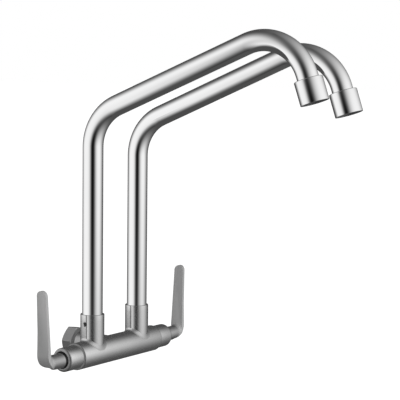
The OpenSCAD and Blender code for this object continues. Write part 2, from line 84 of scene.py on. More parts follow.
CUP_START = 4.0
CUP_END = 26.0
CUP_FLOOR = 10.9
BLADE_TOP_R = 5.45
BLADE_FOOT = 8.24
BLADE_FACE_X = 109.48
BLADE_LEAN = np.radians(3.0)
COLLAR_R = 11.6
COLLAR_END = 82.4
COLLAR_WEB = (67.0, 70.4)
COLLAR_MOUTH_R = 8.4
COLLAR_HOLE_R = 8.08
COLLAR_HEX_R = 9.78

# Place, swing from straight ahead and start of the first bend of each spout
SPOUTS = {"left": (-SOCKET_X, np.radians(6.9), 200.4), "right": (SOCKET_X, np.radians(4.4), 188.6)}

# Sizes of the finish in millimetres, which the scene sets by itself, with its angles and the
# places of the blade's strips as shares of its half width. Welded pieces reach down into the
# body's wall as far as the sunk radius, and a groove parts each collar from the body.
SUNK_R = 11.9
BODY_ROUND = 0.6
COLLAR_GROOVE_END = 62.9
COLLAR_GROOVE_R = 10.9
COLLAR_ROUND = 2.6
CUP_ROUND = 0.8
CUP_LINING_R = 12.6
CUP_LIP_SLOPE = 0.3
LINING_HALF = 0.1
COLLAR_LINING_BACK = 0.5
WELD_LEG = 2.8
NECK_WELD_LEG = 1.6
WELD_DEPTH = 0.8
WELD_FULLNESS = 0.35
SEAM_AT = {"left": np.radians(189), "right": np.radians(185.5)}
SEAM_DEPTH = 0.10
SEAM_SPREAD = np.radians(3.0)
SCREW_HOLE_DEPTH = 1.45
SCREW_HOLE_EDGE = 0.25
SCREW_ROWS_REACH = 3.0
INLET_LEAD_IN = 0.5
HEX_CHAMFER_L = 2.6
HEX_PLAIN_START = 3.2
HEX_CHAMFER_RISE = 2.0
HEX_CRISPNESS = 9.0
NECK_EASE = (0.5, 0.15)
BLADE_CROWN = 0.7
BLADE_CROWN_RISE = 22
BLADE_CROWN_LIMIT = 1.6
BLADE_STRIPS = np.linspace(-0.85, 0.85, 9)
BLADE_CUTS = (14, 21, 30)
BLADE_BEVEL = 0.5
SHARP_EDGE = np.radians(38)
SHARP_BLADE_EDGE = np.radians(50)


# Shapes


def rounded(corners, radii, steps):
    """A closed outline whose corners are eased. Each corner becomes a circular arc that touches
    its two sides, at the radius over the tangent of half the corner's angle from the corner."""
    points = np.array(corners, float)
    out = []
    for i, r in enumerate(radii):
        here, before, after = points[i], points[i - 1], points[(i + 1) % len(points)]
        if r <= 0:
            out.append(here[None])
            continue
        a = (before - here) / np.linalg.norm(before - here)
        b = (after - here) / np.linalg.norm(after - here)
        half = np.arccos(np.clip(a @ b, -1, 1)) / 2
        reach = r / np.tan(half)
        middle = here + (a + b) / np.linalg.norm(a + b) * r / np.sin(half)
        start, end = here + a * reach - middle, here + b * reach - middle
        t = np.linspace(0, 1, steps)[:, None]
        span = np.arccos(np.clip(start @ end / r**2, -1, 1))
        out.append(middle + (np.sin((1 - t) * span) * start + np.sin(t * span) * end) / np.sin(span))
    return np.concatenate(out)


def turned(outline, count=144):
    """A turned surface: each (radius, height) of the outline is carried round the Z axis, so a
    point is (radius times cosine, radius times sine, height). The outline is a closed loop."""
    a = np.arange(count) * TURN / count
    r, z = outline[:, :1], outline[:, 1:]
    return np.stack([r * np.cos(a), r * np.sin(a), z + 0 * a], 2)


def placed(points, x_axis, y_axis, z_axis, origin):
    """Local points made global: origin plus x, y and z times the three axes."""
    axes = np.array([x_axis, y_axis, z_axis], float)
    return points @ axes + np.array(origin, float)


def fit(obj, body, stands_for):
    """Puts a finished piece on its body and in place of its CAD nodes. Metal mirrors
    the light tent alone, so no piece is seen in another."""
    bpy.context.scene.collection.objects.link(obj)
    obj.visible_glossy = False
    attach(obj, body)
    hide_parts(*stands_for)


def piece(name, grids, material, body, slot, stands_for):
    """One mesh from several closed grids of points. Each grid joins up with itself both ways,
    its cells are quads, and doubles at poles are merged before the faces are turned outwards."""
    verts, quads, base = [], [], 0
    for g in grids:
        rows, columns = g.shape[:2]
        i, j = np.meshgrid(np.arange(rows), np.arange(columns), indexing="ij")
        i2, j2 = (i + 1) % rows, (j + 1) % columns
        cell = np.stack([i * columns + j, i2 * columns + j, i2 * columns + j2, i * columns + j2], 2)
        verts.append(g.reshape(-1, 3))
        quads.append(cell.reshape(-1, 4) + base)
        base += rows * columns
    mesh = bpy.data.meshes.new(name)
    mesh.from_pydata((np.concatenate(verts) * MM).tolist(), [], np.concatenate(quads).tolist())
    work = bmesh.new()
    work.from_mesh(mesh)
    bmesh.ops.remove_doubles(work, verts=work.verts, dist=2e-7)
    bmesh.ops.recalc_face_normals(work, faces=work.faces)
    work.to_mesh(mesh)
    work.free()
    mesh.shade_smooth()
    mesh.set_sharp_from_angle(angle=SHARP_EDGE)
    mesh.materials.append(material)
    fit(bpy.data.objects.new(name, mesh), body, stands_for)


def spout_line(rise, steps=(14, 28, 22, 44, 5)):
    """Centreline of a spout in its own plane as (forward, up) and its direction: straight up,
    a bend forward, a straight arm, a bend down and a short straight end. A bend's point is its
    centre plus its radius times the cosine and sine of the turn so far."""
    up = np.linspace(TUBE_START, rise, steps[0])
    points = [np.stack([0 * up, up], 1)]
    ways = [np.tile([0.0, 1.0], (len(up), 1))]
    t = np.linspace(0, np.pi / 2 - ARM_PITCH, steps[1])[1:]
    points.append(np.stack([RISE_BEND_R * (1 - np.cos(t)), rise + RISE_BEND_R * np.sin(t)], 1))
    ways.append(np.stack([np.sin(t), np.cos(t)], 1))
    along = np.array([np.cos(ARM_PITCH), np.sin(ARM_PITCH)])
    s = np.linspace(0, ARM_L, steps[2])[1:, None]
    points.append(points[-1][-1] + s * along)
    ways.append(np.tile(along, (len(s), 1)))
    centre = points[-1][-1] + FALL_BEND_R * np.array([np.sin(ARM_PITCH), -np.cos(ARM_PITCH)])
    t = ARM_PITCH - np.linspace(0, ARM_PITCH + OUTLET_DIP, steps[3])[1:]
    points.append(centre + FALL_BEND_R * np.stack([-np.sin(t), np.cos(t)], 1))
    ways.append(np.stack([np.cos(t), np.sin(t)], 1))
    out = np.array([np.cos(OUTLET_DIP), -np.sin(OUTLET_DIP)])
    s = np.linspace(0, TUBE_END, steps[4])[1:, None]
    points.append(points[-1][-1] + s * out)
    ways.append(np.tile(out, (len(s), 1)))
    return np.concatenate(points), np.concatenate(ways)


def spout_axes(side):
    """Forward and sideways directions of a spout's plane, the foot of its riser, and the height
    at which its first bend starts."""
    x, turn, rise = SPOUTS[side]
    forward = np.array([np.sin(turn), -np.cos(turn), 0.0])
    return forward, np.cross(forward, UP), np.array([x, -INLET_REACH, 0.0]), rise


def bent_tube(side, count=112):
    """Skin of a bent tube: centreline point plus radius times (cosine along the plane's side
    direction, sine along the in-plane normal), out along the outer radius and back along the
    inner one, so that the wall is closed at both ends."""
    forward, across, foot, rise = spout_axes(side)
    line, way = spout_line(rise)
    centre = foot + line[:, :1] * forward + line[:, 1:] * UP
    normal = -way[:, 1:] * forward + way[:, :1] * UP
    a = np.arange(count) * TURN / count

    def skin(radius, c, n):
        outwards = np.cos(a)[None, :, None] * across + np.sin(a)[None, :, None] * n[:, None]
        return c[:, None] + radius * outwards

    outside = skin(TUBE_R, centre, normal)
    inside = skin(TUBE_R - TUBE_WALL, centre[::-1], normal[::-1])
    return np.concatenate([outside, inside])


def on_outlet(side, outline):
    """An outline turned round the axis of a spout's outlet, its heights counted from the end of
    the spout's last bend."""
    forward, across, foot, rise = spout_axes(side)
    line, way = spout_line(rise)
    out = way[-1][0] * forward + way[-1][1] * UP
    end = foot + line[-1][0] * forward + line[-1][1] * UP - TUBE_END * out
    return placed(turned(outline), across, np.cross(out, across), out, end)


def outlet_cup(side):
    """Turned cup on the end of a spout: flat shoulder with an eased edge, straight wall, thin
    rim, wide bore and the seat that the tube ends in."""
    outline = rounded(
        [(TUBE_R, CUP_START), (CUP_R, CUP_START), (CUP_R, CUP_END), (CUP_LINING_R, CUP_END),
         (CUP_LINING_R, CUP_FLOOR), (TUBE_R - TUBE_WALL, CUP_FLOOR), (TUBE_R - TUBE_WALL, TUBE_END),
         (TUBE_R, TUBE_END)],
        [0.15, CUP_ROUND, 0.2, 0.2, 0, 0.1, 0, 0], 10)
    return on_outlet(side, outline)


def cup_thread_shade(side):
    """The cup's threaded lining, painted dark as shade, a turned ring with a sloped lip."""
    outer, lip = CUP_LINING_R + LINING_HALF, CUP_END - LINING_HALF
    inner_lip = lip - CUP_LIP_SLOPE
    outline = [(outer, lip), (outer, CUP_FLOOR), (CUP_BORE_R, CUP_FLOOR), (CUP_BORE_R, inner_lip)]
    return on_outlet(side, np.array(outline))


def on_end(sign, outline):
    """An outline turned round the body's axis, its heights counted from the middle of the body
    towards one end."""
    return placed(turned(outline), [0, 1, 0], [0, 0, 1], [sign, 0, 0], BODY_MIDDLE)


def body_tube():
    """Turned body with eased end edges, and its passage, chambers and threads inside."""
    outline = rounded(
        [(BODY_R, -BODY_END), (BODY_R, BODY_END), (THREAD_R, BODY_END), (THREAD_R, THREAD_X),
         (CHAMBER_R, THREAD_X), (CHAMBER_R, SEAT_X), (PASSAGE_R, SEAT_X), (PASSAGE_R, -SEAT_X),
         (CHAMBER_R, -SEAT_X), (CHAMBER_R, -THREAD_X), (THREAD_R, -THREAD_X), (THREAD_R, -BODY_END)],
        [BODY_ROUND, BODY_ROUND, 0.4, 0, 0, 0, 0, 0, 0, 0, 0, 0.4], 10)
    return on_end(1, outline)


def collar(sign):
    """Turned end collar with eased edges, its web round the cartridge and its open mouth."""
    web_start, web_end = COLLAR_WEB
    outline = rounded(
        [(COLLAR_GROOVE_R, BODY_END), (COLLAR_GROOVE_R, COLLAR_GROOVE_END),
         (COLLAR_R, COLLAR_GROOVE_END), (COLLAR_R, COLLAR_END), (COLLAR_MOUTH_R, COLLAR_END),
         (COLLAR_MOUTH_R, web_end), (COLLAR_HOLE_R, web_end), (COLLAR_HOLE_R, web_start),
         (COLLAR_HEX_R, web_start), (COLLAR_HEX_R, BODY_END)],
        [0, 0.15, 0.35, COLLAR_ROUND, 0.4, 0.3, 0.1, 0, 0, 0], 10)
    return on_end(sign, outline)


def collar_mouth_shade(sign):
    """A near-black ring over the inside of a collar's mouth, painted shade."""
    inner, outer = COLLAR_MOUTH_R - LINING_HALF, COLLAR_MOUTH_R + LINING_HALF
    start, end = COLLAR_WEB[1] + LINING_HALF, COLLAR_END - COLLAR_LINING_BACK
    return on_end(sign, np.array([(outer, start), (outer, end), (inner, end), (inner, start)]))


def socket(side, count=360, hole_rows=32):
    """Turned socket whose foot is sunk in the body's wall: the foot's height at each angle is the
    root of the sunk radius squared less the sideways reach squared. Its seam is a shallow
    groove, the depth times the bell curve of the angle, and the screw's hole a steep ramp of the
    distance from the hole's axis. The outline has close rows at the hole."""
    a = np.arange(count) * TURN / count
    off_seam = (a - SEAM_AT[side] + np.pi) % TURN - np.pi
    seam = SEAM_DEPTH * np.exp(-((off_seam / SEAM_SPREAD) ** 2))
    rim = rounded([(SOCKET_R, SCREW_Z), (SOCKET_R, SOCKET_H), (SOCKET_BORE_R, SOCKET_H),
                   (SOCKET_BORE_R, SOCKET_FLOOR)], [0, 0.5, 0.35, 0], 8)
    by_hole = SCREW_Z + np.linspace(-SCREW_ROWS_REACH, SCREW_ROWS_REACH, hole_rows)
    wall = np.stack([np.full(hole_rows, SOCKET_R), by_hole], 1)
    outline = np.concatenate([[(SOCKET_R, 0)], wall, rim[1:]])
    r, z = outline[:, :1] + 0 * a, outline[:, 1:] + 0 * a
    z[0] = np.sqrt(SUNK_R**2 - (SOCKET_R * np.sin(a)) ** 2)
    inner_side = np.cos(a) * SPOUTS[side][0] < 0
    from_hole = np.hypot(SOCKET_R * np.sin(a), z - SCREW_Z) + SOCKET_H * inner_side
    hole = np.clip((SCREW_R + SCREW_HOLE_EDGE - from_hole) / SCREW_HOLE_EDGE, 0, 1)

    # The seam runs out on the first rows of the eased edge
    on_wall = r > SOCKET_R - 0.05
    r -= on_wall * (seam + SCREW_HOLE_DEPTH * hole)
    ring = np.stack([r * np.cos(a), r * np.sin(a), z], 2)
    port_x, port_y = PASSAGE_R * np.cos(a), PASSAGE_R * np.sin(a)
    port = np.stack([port_x, port_y, SOCKET_FLOOR + 0 * a], 1)[None]
    low = np.stack([port_x, port_y, np.sqrt(SUNK_R**2 - port_y**2)], 1)[None]
    return np.concatenate([ring, port, low]) + np.array([SPOUTS[side][0], -INLET_REACH, 0])


def on_body(x, arc_length):
    """A point on the body's round surface, from its place along the axis and round from the top:
    the angle is the arc's length over the body's radius."""
    a = arc_length / BODY_R
    return np.stack([x, BODY_R * np.sin(a), BODY_R * np.cos(a)], -1)


def saddle_weld(radius, leg, steps=12, count=240):
    """Fillet round a tube that stands on the body. At each angle a quadratic curve runs from the
    tube's wall, one leg above the joint, to the body's surface, one leg out from it, and is
    pulled towards a point part of the way from the joint to the middle of its two ends. It then
    returns inside the metal. The tube stands along +Z."""
    a = np.arange(count) * TURN / count
    x, y = radius * np.cos(a), radius * np.sin(a)
    joint = np.stack([x, y, np.sqrt(BODY_R**2 - y**2)], 1)
    round_at = BODY_R * np.arcsin(y / BODY_R)
    dx = np.roll(x, -1) - np.roll(x, 1)
    dr = np.roll(round_at, -1) - np.roll(round_at, 1)
    size = np.hypot(dx, dr)
    foot = on_body(x + leg * dr / size, round_at - leg * dx / size)
    top = joint + leg * UP
    t = np.linspace(0, 1, steps)[:, None, None]
    pull = joint + WELD_FULLNESS * ((top + foot) / 2 - joint)
    curve = (1 - t) ** 2 * top + 2 * t * (1 - t) * pull + t**2 * foot
    within = 1 - WELD_DEPTH / BODY_R
    under = foot * [1, within, within]
    inner_x, inner_y = (radius - WELD_DEPTH) * np.cos(a), (radius - WELD_DEPTH) * np.sin(a)
    inner = np.stack([inner_x, inner_y, joint[:, 2] - WELD_DEPTH], 1)
    wall = np.stack([inner_x, inner_y, top[:, 2]], 1)
    return np.concatenate([curve, under[None], inner[None], wall[None]])


def socket_weld(side):
    """The fillet round a socket."""
    return saddle_weld(SOCKET_R, WELD_LEG) + [SPOUTS[side][0], -INLET_REACH, 0]


def neck_weld():
    """The same fillet turned to lie round the inlet's neck, behind the body."""
    ring = saddle_weld(NECK_R, NECK_WELD_LEG)
    return placed(ring, [1, 0, 0], [0, 0, -1], [0, 1, 0], BODY_MIDDLE)


def hexagon_radius(a, flat_r, sharpness=70.0):
    """Radius of a hexagon with slightly eased corners: its flat radius over the p-norm of the
    cosines of the angle to each of the six flats."""
    flats = np.arange(6) * TURN / 6
    c = np.maximum(np.cos(a[..., None] - flats), 0)
    return flat_r / (c**sharpness).sum(-1) ** (1 / sharpness)


def inlet(count=288):
    """Neck, chamfered hexagon and threaded mouth as one closed skin. Along the hexagon the radius
    is a smooth lesser of the hexagon's and the chamfer cone's, minus the logarithm of the sum of
    their negative exponentials, and elsewhere it is round."""
    a = np.arange(count) * TURN / count

    def ring(r, y):
        return np.stack([r * np.sin(a), y + 0 * a, r * np.cos(a)], 1)[None]

    chamfered = np.linspace(0, HEX_CHAMFER_L, 12)
    plain = np.linspace(HEX_PLAIN_START, HEX_L - HEX_PLAIN_START, 6)
    y = np.concatenate([chamfered, plain, HEX_L - chamfered[::-1]])[:, None]
    cone = HEX_FLAT_R + HEX_CHAMFER_RISE * np.minimum(y, HEX_L - y)
    six_sided = hexagon_radius(a - HEX_TURN, HEX_FLAT_R)
    r = -np.logaddexp(-HEX_CRISPNESS * six_sided, -HEX_CRISPNESS * cone) / HEX_CRISPNESS
    hexagon = np.stack([r * np.sin(a), -y + 0 * a, r * np.cos(a)], 2)
    ease, half_way = NECK_EASE
    fillet = [ring(NECK_R + ease, -HEX_L), ring(NECK_R + half_way, -HEX_L - half_way),
              ring(NECK_R, -HEX_L - ease)]
    in_body = -INLET_REACH + np.sqrt(SUNK_R**2 - (NECK_R * np.cos(a)) ** 2)
    neck = [ring(NECK_R, in_body), ring(PASSAGE_R, in_body)]
    mouth = [ring(PASSAGE_R, -INLET_SEAT_Y), ring(INLET_SEAT_R, -INLET_SEAT_Y),
             ring(INLET_SEAT_R, -INLET_THREAD_L), ring(THREAD_R, -INLET_THREAD_L),
             ring(THREAD_R, -INLET_LEAD_IN), ring(THREAD_R + INLET_LEAD_IN, 0.0)]
    return np.concatenate(mouth + [hexagon] + fillet + neck)


def forged_lever(side, sign, material):
    """The CAD lever as a forging: flat faces made whole, the blade's outer face crowned and
    the sharp edges eased by a small bevel. The face is cut along and across, and a point goes
    inwards by the crown's height times the square of its share of the half width, a crown that
    grows from nothing at the blade's foot."""
    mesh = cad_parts[f"{side}_lever"].data.copy()
    mesh.name = f"{side}_forged_lever"
    work = bmesh.new()
    work.from_mesh(mesh)
    bmesh.ops.remove_doubles(work, verts=work.verts, dist=2e-6)
    bmesh.ops.dissolve_limit(work, angle_limit=np.radians(0.6), verts=work.verts, edges=work.edges)

    def is_outer(face):
        return face.normal.x * sign > 0.9 and face.calc_center_median().z > BLADE_FOOT * MM

    cuts = [((0, y * MM, 0), (0, 1, 0)) for y in BLADE_TOP_R * BLADE_STRIPS - INLET_REACH]
    cuts += [((0, 0, height * MM), (0, 0, 1)) for height in BLADE_CUTS]
    for point, way in cuts:
        faces = [face for face in work.faces if is_outer(face)]
        edges = dict.fromkeys(edge for face in faces for edge in face.edges)
        verts = dict.fromkeys(vert for face in faces for vert in face.verts)
        parts = [*faces, *edges, *verts]
        bmesh.ops.bisect_plane(work, geom=parts, dist=1e-6, plane_co=point, plane_no=way)
    work.to_mesh(mesh)
    work.free()
    flat = np.empty(len(mesh.vertices) * 3, np.float32)
    mesh.vertices.foreach_get("co", flat)
    p = flat.reshape(-1, 3).astype(float) / MM
    above = p[:, 2] - BLADE_FOOT
    off_face = (sign * p[:, 0] - BLADE_FACE_X) * np.cos(BLADE_LEAN) - above * np.sin(BLADE_LEAN)
    on_face = np.abs(off_face) < 0.02
    share = np.minimum(BLADE_CROWN_LIMIT, ((p[:, 1] + INLET_REACH) / BLADE_TOP_R) ** 2)
    p[:, 0] -= sign * BLADE_CROWN * share * np.clip(above / BLADE_CROWN_RISE, 0, 1) * on_face
    mesh.vertices.foreach_set("co", (p * MM).astype(np.float32).ravel())
    mesh.update()
    mesh.materials.clear()
    mesh.materials.append(material)
    mesh.shade_smooth()
    mesh.set_sharp_from_angle(angle=SHARP_BLADE_EDGE)
    obj = bpy.data.objects.new(mesh.name, mesh)
    bevel = obj.modifiers.new("eased edges", "BEVEL")
    bevel.width = BLADE_BEVEL * MM
    bevel.segments = 3
    bevel.limit_method = "ANGLE"
    bevel.angle_limit = np.radians(32)
    fit(obj, f"{side}_valve", [f"{side}_lever"])


# Finishes

# The middle part of a noise's range, a broad noise's scale, and a fine bump's strength and depth
NOISE_RANGE = (0.25, 0.75)
BROAD_SCALE = 28.0
FINE_BUMP = (0.1, 0.03 * MM)

# Places of a Mix node's first value, second value and result, for numbers and for colours
MIX_NUMBERS = (2, 3, 0)
MIX_COLOURS = (6, 7, 2)


def grey(level):
    """A plain grey as a colour."""
    return (level, level, level)


def feed(tree, value, target):
    """Sets an input to a number, or links it to another node's output."""
    if isinstance(value, (int, float)):
        target.default_value = value
    else:
        tree.links.new(value, target)


def calc(tree, kind, *values):
    """One step of arithmetic on numbers and outputs."""
    node = tree.nodes.new("ShaderNodeMath")
    node.operation = kind
    for target, value in zip(node.inputs, values):
        feed(tree, value, target)
    return node.outputs[0]


def mapped(tree, value, start, full, low=0.0, high=1.0, kind="LINEAR"):
    """A value carried over: low at start, high at full, and held past both."""
    node = tree.nodes.new("ShaderNodeMapRange")
    node.interpolation_type = kind
    for key, number in (("From Min", start), ("From Max", full), ("To Min", low), ("To Max", high)):
        node.inputs[key].default_value = number
    tree.links.new(value, node.inputs["Value"])
    return node.outputs["Result"]


def finish_nodes(name, colour, metallic, roughness):
    """A material, its tree, its main shader, and the output that gives each point's own place."""
    m = bpy.data.materials.new(name)
    m.use_nodes = True
    tree = m.node_tree
    shader = tree.nodes["Principled BSDF"]
    shader.inputs["Base Color"].default_value = (*colour, 1)
    shader.inputs["Metallic"].default_value = metallic
    shader.inputs["Roughness"].default_value = roughness
    return m, tree, shader, tree.nodes.new("ShaderNodeTexCoord").outputs["Object"]


def grain(tree, place, scale, stretch=(1, 1, 1), detail=4.0):
    """Noise stretched by a Mapping node into the direction of a brushed grain."""
    mapping = tree.nodes.new("ShaderNodeMapping")
    mapping.inputs["Scale"].default_value = stretch
    noise = tree.nodes.new("ShaderNodeTexNoise")
    noise.inputs["Scale"].default_value = scale
    noise.inputs["Detail"].default_value = detail
    tree.links.new(place, mapping.inputs["Vector"])
    tree.links.new(mapping.outputs["Vector"], noise.inputs["Vector"])
    return noise.outputs["Fac"]


def tint(tree, value, dark, light):
    """Two colours mixed by a noise."""
    ramp = tree.nodes.new("ShaderNodeValToRGB")
    first, last = ramp.color_ramp.elements
    first.position = 0.3
    first.color = (*dark, 1)
    last.position = 0.7
    last.color = (*light, 1)
    tree.links.new(value, ramp.inputs["Fac"])
    return ramp.outputs["Color"]


def bumped(tree, value, shader, strength, distance):
    """A noise made a fine relief."""
    node = tree.nodes.new("ShaderNodeBump")
    node.inputs["Strength"].default_value = strength
    node.inputs["Distance"].default_value = distance
    tree.links.new(value, node.inputs["Height"])
    tree.links.new(node.outputs["Normal"], shader.inputs["Normal"])


def distance_along(tree, place, axis, middle):
    """Distance either way from a middle, along one axis of the tap."""
    parts = tree.nodes.new("ShaderNodeSeparateXYZ")
    tree.links.new(place, parts.inputs[0])
    return calc(tree, "ABSOLUTE", calc(tree, "SUBTRACT", parts.outputs[axis], middle * MM))


def blended(tree, share, elsewhere, zone):
    """A zone's number or colour, by its share, over what the surface has elsewhere."""
    node = tree.nodes.new("ShaderNodeMix")
    is_colour = isinstance(zone, tuple)
    if is_colour:
        node.data_type = "RGBA"
    first, second, result = MIX_COLOURS if is_colour else MIX_NUMBERS
    node.inputs[second].default_value = (*zone, 1) if is_colour else zone
    tree.links.new(share, node.inputs["Factor"])
    feed(tree, elsewhere, node.inputs[first])
    return node.outputs[result]


def metal(name, dark, light, rough, scale, stretch=(1, 1, 1), bump=None, metallic=1.0, zones=()):
    """A metal whose colour and roughness wander along its grain. Each zone is an axis, a middle,
    the distances from it at which the zone starts and is full, and the zone's roughness, colour
    and metallic share."""
    m, tree, shader, place = finish_nodes(name, light, metallic, rough[0])
    fine = grain(tree, place, scale, stretch)
    broad = grain(tree, place, BROAD_SCALE, detail=3.0)
    looks = {"Base Color": tint(tree, broad, dark, light),
             "Roughness": mapped(tree, fine, *NOISE_RANGE, *rough),
             "Metallic": metallic}
    for axis, middle, start, full, zone_rough, zone_colour, zone_metallic in zones:
        share = mapped(tree, distance_along(tree, place, axis, middle), start * MM, full * MM)
        zone = {"Base Color": zone_colour, "Roughness": zone_rough, "Metallic": zone_metallic}
        for key, value in zone.items():
            if value != looks[key]:
                looks[key] = blended(tree, share, looks[key], value)
    for key, value in looks.items():
        feed(tree, value, shader.inputs[key])
    if bump:
        bumped(tree, fine, shader, *bump)
    return m


def matt(name, dark, light, rough, scale, bump):
    """A rubber, plastic or ceramic with fine mottling."""
    m, tree, shader, place = finish_nodes(name, light, 0.0, rough[0])
    fine = grain(tree, place, scale)
    tree.links.new(tint(tree, fine, dark, light), shader.inputs["Base Color"])
    tree.links.new(mapped(tree, fine, *NOISE_RANGE, *rough), shader.inputs["Roughness"])
    bumped(tree, fine, shader, *bump)
    return m


def turned_steel(name, start, full, end_level):
    """Pale satin steel of the body and its collars, greyer on the flat face at each end."""
    end_face = ("X", 0, start, full, 0.5, grey(end_level), 1.0)
    return metal(name, grey(0.83), grey(0.87), (0.22, 0.27), 900.0, (0.15, 1, 1), zones=[end_face])


def socket_steel(side):
    """Satin steel with a darker, rougher line along the socket's seam. The second zone gives the
    half away from the seam its plain steel back."""
    x, seam_y = SPOUTS[side][0], -INLET_REACH + SOCKET_R * np.sin(SEAM_AT[side])
    return metal(
        f"satin steel of the {side} socket", grey(0.69), grey(0.73), (0.235, 0.265), 900.0, (1, 1, 0.06),
        zones=[("Y", seam_y, 0.95, 0.45, 0.3, grey(0.25), 1.0),
               ("X", x + SOCKET_R, 12.0, 11.0, 0.25, grey(0.71), 1.0)])


# On the body, the grey of each end face is painted shade in the groove beside its collar
satin = turned_steel("satin body steel", BODY_END - 1.0, BODY_END - 0.6, 0.3)
satin_collar = turned_steel("satin collar steel", COLLAR_END - 2.6, COLLAR_END - 1.2, 0.38)
weld = metal("weld steel", grey(0.62), grey(0.70), (0.40, 0.46), 1300.0)

# The lever's turned stem is paler than its blade, and painted dark as shade where it enters the collar.
# The turned length ends this far from the tap's middle, in millimetres.
STEM_TURNED_END = 99.0
blasted = metal(
    "grey blasted steel", grey(0.35), grey(0.39), (0.42, 0.48), 1500.0, metallic=0.3,
    zones=[("X", 0, STEM_TURNED_END + 5.0, STEM_TURNED_END, 0.42, grey(0.62), 1.0),
           # Painted shade: the stem goes near black in and just outside the collar's mouth
           ("X", 0, COLLAR_END + 2.2, COLLAR_END + 1.4, 0.5, grey(0.04), 1.0)])

# The hexagon's rear face is painted dark as shade, and the neck behind it is paler
hexagon_steel = metal(
    "grey hexagon steel", grey(0.25), grey(0.29), (0.32, 0.38), 1500.0, metallic=0.5,
    zones=[("Y", 0, HEX_L - 0.5, HEX_L - 0.2, 0.45, grey(0.12), 0.5),
           ("Y", 0, HEX_L + 0.6, HEX_L + 1.2, 0.3, grey(0.36), 0.9)])
polished = metal("polished stainless steel", (0.86, 0.86, 0.862), (0.88, 0.88, 0.882), (0.03, 0.045),
                 700.0, (1, 1, 0.1))
plain = metal("plain steel", (0.42, 0.42, 0.43), (0.5, 0.5, 0.51), (0.3, 0.4), 1200.0, bump=FINE_BUMP)
brass = metal("dull brass", (0.52, 0.40, 0.20), (0.62, 0.49, 0.27), (0.32, 0.42), 1200.0, bump=FINE_BUMP)
# The cartridge housing's brass is painted dark all over as shade for its place deep in the collar
shade_painted_brass = metal("brass painted dark as shade", (0.10, 0.075, 0.04), (0.16, 0.12, 0.07), (0.4, 0.5), 1200.0, bump=FINE_BUMP)
# Blackened steel of the screws, and the near-black painted shade in each collar's mouth
blackened_and_shade_steel = metal("blackened steel and painted shade", grey(0.02), grey(0.035), (0.5, 0.6), 1200.0, metallic=0.1)
# The aerator ring's own dark steel, partly painted shade inside the cup, and the painted shade of the cup's
# lining
dark_and_shade_steel = metal("dark turned steel and painted shade", (0.06, 0.06, 0.062), (0.10, 0.10, 0.102), (0.45, 0.55), 1200.0,
                   metallic=0.5)
rubber = matt("black rubber", (0.012, 0.012, 0.013), (0.022, 0.022, 0.024), (0.6, 0.75), 1400.0,
              (0.2, 0.04 * MM))
ceramic = matt("valve ceramic", (0.80, 0.79, 0.75), (0.86, 0.85, 0.82), (0.16, 0.24), 500.0,
               (0.05, 0.02 * MM))
plastic = matt("white plastic", (0.72, 0.73, 0.73), (0.80, 0.81, 0.81), (0.38, 0.48), 900.0,
               (0.08, 0.03 * MM))

finish_of = {
    "inlet_washer": rubber, "inlet_strainer": plain, "cartridge_housing": shade_painted_brass,
    "cartridge_ring": rubber, "seat_seal": rubber, "fixed_disc": ceramic, "turning_disc": ceramic,
    "spindle": brass, "spindle_ring": rubber, "spindle_clip": plain, "lever_screw": plain,
    "glide_ring": plastic, "spout_screw": blackened_and_shade_steel, "spout_tail": brass, "tail_rings": rubber,
    "aerator_washer": rubber, "aerator_screen": plain, "aerator_core": plastic,
    "aerator_ring": dark_and_shade_steel, "body": satin, "inlet_connector": hexagon_steel, "collar": satin,
    "lever": blasted, "spout_tube": polished, "outlet_cup": polished,
}
for node_name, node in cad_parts.items():
    kind = node_name.removeprefix("left_").removeprefix("right_")
    node.data.materials.clear()
    node.data.materials.append(finish_of[kind])
    node.visible_glossy = False


# Finished pieces

piece("tap_body", [body_tube(), neck_weld()], satin, "body_group", "satin_steel", ["body"])
piece("inlet_hexagon", [inlet()], hexagon_steel, "body_group", "grey_steel", ["inlet_connector"])
satin_part = ("body_group", "satin_steel")
for side, sign in (("left", -1), ("right", 1)):
    piece(f"{side}_end_collar", [collar(sign)], satin_collar, *satin_part, [f"{side}_collar"])
    piece(f"{side}_collar_mouth_shade", [collar_mouth_shade(sign)], blackened_and_shade_steel, *satin_part, [f"{side}_collar"])
    piece(f"{side}_socket", [socket(side)], socket_steel(side), *satin_part, ["body"])
    piece(f"{side}_socket_weld", [socket_weld(side)], weld, *satin_part, ["body"])
    forged_lever(side, sign, blasted)
    spout_part = (f"{side}_spout", "polished_steel")
    piece(f"{side}_bent_tube", [bent_tube(side)], polished, *spout_part, [f"{side}_spout_tube"])
    piece(f"{side}_cup", [outlet_cup(side)], polished, *spout_part, [f"{side}_outlet_cup"])
    piece(f"{side}_cup_thread_shade", [cup_thread_shade(side)], dark_and_shade_steel, *spout_part, [f"{side}_outlet_cup"])


# Studio

# The photograph's view, with its angles in degrees and its eye in metres
VIEW_AZIMUTH = 55.585
VIEW_RISE = 5.5
VIEW_ROLL = 0.63
VIEW_LENS = 133.4
VIEW_SENSOR = 36
EYE = (-1.1499, -0.9444, 0.2872)

# The floor's height and half width in metres, its grey and its glow where it is seen
FLOOR_Z = -0.46
FLOOR_REACH = 30.0
FLOOR_GREY = 0.8
FLOOR_GLOW = 0.85

